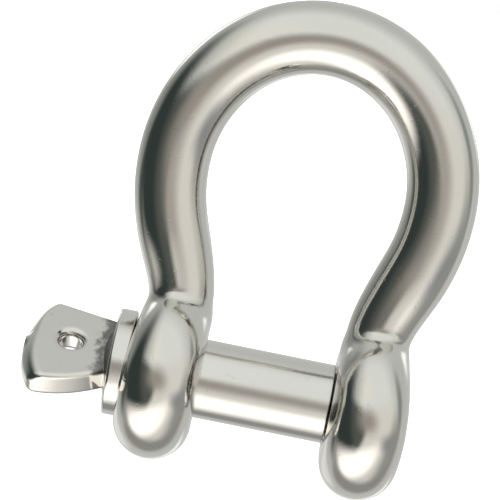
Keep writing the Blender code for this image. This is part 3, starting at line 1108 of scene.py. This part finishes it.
def card_group():
    """A soft oval card seen from the shackle, as a mask by direction.

    The direction is laid flat about the card's centre, 2 d / (1 + d . centre), measured
    along and over the card in half widths and half heights, and eased over the card's
    soft rim.
    """
    name = "soft_card"
    if name in bpy.data.node_groups:
        return bpy.data.node_groups[name]
    nodes, given, out = new_group(
        name,
        [
            ("Direction", "NodeSocketVector", None),
            ("Centre", "NodeSocketVector", None),
            ("Along", "NodeSocketVector", None),
            ("Over", "NodeSocketVector", None),
            ("Softness", "NodeSocketFloat", 0.5),
        ],
        [("Mask", "NodeSocketFloat")],
    )
    look = given["Direction"]
    flat = nodes.sum("MAXIMUM", nodes.sum("ADD", nodes.dot(look, given["Centre"]), 1.0), 0.001)
    p = nodes.sum("DIVIDE", nodes.dot(look, given["Along"]), flat)
    q = nodes.sum("DIVIDE", nodes.dot(look, given["Over"]), flat)
    squares = nodes.sum("MULTIPLY_ADD", p, p, nodes.sum("MULTIPLY", q, q))
    r = nodes.sum("SQRT", squares)
    rim = nodes.sum("SUBTRACT", nodes.sum("ADD", given["Softness"], 1.0), r)
    rim = nodes.sum("DIVIDE", rim, nodes.sum("MULTIPLY", given["Softness"], 2.0))
    nodes.tree.links.new(nodes.smooth_range(rim, 0.0, 1.0), out["Mask"])
    return nodes.tree


def card(nodes, look, under, azimuth, elevation, turn, width, height, softness, colour_of):
    """Lay one soft card over what is behind it. Half width and half height in degrees."""
    centre = Vector(direction(azimuth, elevation))
    right = Vector((0, 0, 1)).cross(centre).normalized()
    above = centre.cross(right)
    t = math.radians(turn)
    along = (right * math.cos(t) + above * math.sin(t)) / math.tan(math.radians(width / 2))
    over = (above * math.cos(t) - right * math.sin(t)) / math.tan(math.radians(height / 2))
    mask = place_group(
        nodes,
        card_group(),
        {
            "Direction": look,
            "Centre": tuple(centre),
            "Along": tuple(along),
            "Over": tuple(over),
            "Softness": softness,
        },
    )["Mask"]
    return nodes.blend(mask, under, (*colour_of, 1.0))


# azimuth, elevation, turn, half width, half height (degrees), softness, colour
ROOM = (
    # the pale wall behind, and the warm bounce beside the camera
    (168, -6, 0, 95, 95, 0.5, (0.67, 0.68, 0.67)),
    (44, -28, -1, 63, 50, 0.35, (0.95, 0.93, 0.88)),
    # a cream panel high on the left
    (-46, 35, -12, 32, 14, 0.6, (1.07, 1.06, 0.99)),
    # the dark cards left of the camera, in front of a grey one
    (-106, 12, 0, 57, 38, 0.6, (0.49, 0.51, 0.49)),
    (-122, 6, 0, 16, 15, 0.6, (0.34, 0.35, 0.34)),
    (-62, -18, 4, 55, 34, 0.2, (0.12, 0.13, 0.118)),
    (-78, -8, 34, 24, 56, 0.5, (0.045, 0.058, 0.056)),
    # the camera and the hands behind it
    (-5, 1, -9, 26, 13, 0.85, (0.44, 0.41, 0.37)),
    # the bright opening under the camera
    (-22, -61, 8, 47, 20, 0.55, (1.95, 1.87, 1.78)),
    # dim seams of the tent on the right
    (91, -30, 17, 20, 36, 0.6, (0.42, 0.43, 0.40)),
    (73, -21, 3, 23, 9, 0.85, (0.37, 0.38, 0.39)),
    (99, 11, 0, 9, 26, 0.7, (0.32, 0.36, 0.34)),
    # four lamps behind
    (-152, 17, 0, 11, 9, 0.45, (1.57, 1.57, 1.57)),
    (-151, -29, 4, 12, 15, 0.45, (0.95, 0.95, 0.95)),
    (152, 11, 0, 11, 8, 0.5, (1.38, 1.38, 1.38)),
    (162, -30, -3, 15, 4, 0.6, (1.22, 1.22, 1.22)),
    # the dim foot of the tent, under the shackle and behind it
    (180, -74, 0, 60, 13, 0.5, (0.36, 0.36, 0.34)),
)


def make_world():
    """A white tent with cards and openings: the world's brightness by direction.

    What the camera sees directly is plain white. What the steel mirrors is a pale room
    with dark cards to the left of the camera and bright panels low in front.
    """
    scene = bpy.context.scene
    world = bpy.data.worlds.new("studio")
    scene.world = world
    world.use_nodes = True
    nodes = Nodes(world.node_tree)
    nodes.tree.nodes.clear()
    look = nodes.add("ShaderNodeTexCoord").outputs["Generated"]
    mirror = (1.0, 1.03, 1.0, 1.0)
    for azimuth, elevation, turn, width, height, softness, colour_of in ROOM:
        mirror = card(
            nodes, look, mirror, azimuth, elevation, turn, width, height, softness, colour_of
        )
    seen = nodes.add("ShaderNodeLightPath").outputs["Is Camera Ray"]
    background = nodes.add(
        "ShaderNodeBackground",
        {"Color": nodes.blend(seen, mirror, (1.0, 1.0, 1.0, 1.0)), "Strength": 1.0},
    )
    out = nodes.add("ShaderNodeOutputWorld")
    nodes.tree.links.new(background.outputs[0], out.inputs[0])
    scene.view_settings.view_transform = "Standard"


def make_camera(stage):
    """The camera: a long lens, nearly square to the bow and a little above it, rolled."""
    scene = bpy.context.scene
    data = bpy.data.cameras.new("camera")
    data.lens = stage.camera_lens
    data.sensor_width = 36.0
    data.clip_start = 0.01
    camera = bpy.data.objects.new("camera", data)
    scene.collection.objects.link(camera)
    target = Vector(stage.camera_target)
    azimuth = math.degrees(stage.camera_azimuth)
    elevation = math.degrees(stage.camera_elevation)
    away = Vector(direction(azimuth, elevation))
    camera.location = target + away * stage.camera_distance
    look = (-away).to_track_quat("-Z", "Y").to_matrix().to_4x4()
    roll = Matrix.Rotation(stage.camera_roll, 4, "Z")
    camera.matrix_world = Matrix.Translation(camera.location) @ look @ roll
    scene.camera = camera


class SHACKLE_PT_panel(bpy.types.Panel):
    """Lists the shackle's operators and sizes"""

    bl_label = "Bow shackle"
    bl_idname = "SHACKLE_PT_panel"
    bl_space_type = "VIEW_3D"
    bl_region_type = "UI"
    bl_category = "Shackle"

    def draw(self, context):
        layout = self.layout
        for operator in (SHACKLE_OT_bow, SHACKLE_OT_screw_pin, SHACKLE_OT_stage):
            layout.operator(operator.bl_idname)
        for group in GROUPS:
            settings = getattr(context.scene, group)
            box = layout.box()
            for key in settings.__annotations__:
                box.prop(settings, key)


GROUPS = {
    "shackle_bow": BowSettings,
    "shackle_pin": PinSettings,
    "shackle_stage": StageSettings,
    "shackle_detail": DetailSettings,
}

CLASSES = (
    *GROUPS.values(),
    SHACKLE_OT_bow,
    SHACKLE_OT_screw_pin,
    SHACKLE_OT_stage,
    SHACKLE_PT_panel,
)


def register():
    """Register the classes and hang the settings on the scene."""
    for each in CLASSES:
        bpy.utils.register_class(each)
    for group, settings in GROUPS.items():
        setattr(bpy.types.Scene, group, PointerProperty(type=settings))


def unregister():
    """Take the settings and the classes away again."""
    for group in GROUPS:
        delattr(bpy.types.Scene, group)
    for each in reversed(CLASSES):
        bpy.utils.unregister_class(each)


def main():
    """Register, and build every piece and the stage."""
    register()
    bpy.ops.shackle.bow()
    bpy.ops.shackle.screw_pin()
    bpy.ops.shackle.stage()


if __name__ == "__main__":
    main()
